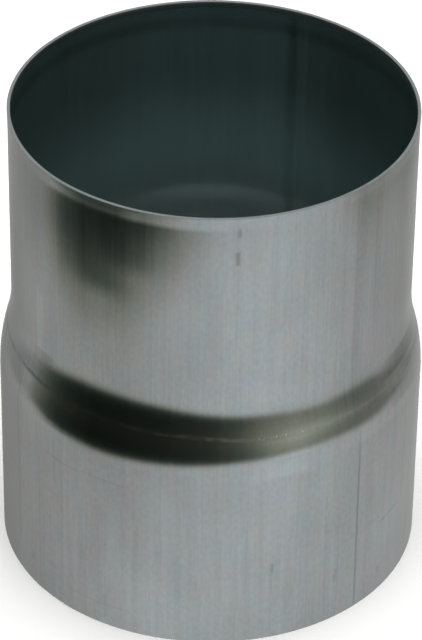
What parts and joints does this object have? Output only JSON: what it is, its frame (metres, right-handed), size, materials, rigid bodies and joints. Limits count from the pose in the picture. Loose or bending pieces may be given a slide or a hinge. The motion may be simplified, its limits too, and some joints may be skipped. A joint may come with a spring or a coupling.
{
  "type": "downpipe socket",
  "caption": "Stepped zinc coupling tube: a wide socket slips over one downpipe end, and a narrower spigot above an S-shaped step slips into the other.",
  "frame": {"origin": "centre of the socket's mouth, on the plane of the rim that the tube stands on", "axes": "+Z along the tube's axis, from the socket up to the spigot; -Y towards the picture's camera"},
  "size_m": [0.0822, 0.0822, 0.096],
  "materials": {
    "zinc": "bright rolled zinc with fine lengthwise drawing lines"
  },
  "bodies": {
    "root": {"downpipe_socket": "zinc"}
  },
  "joints": []
}
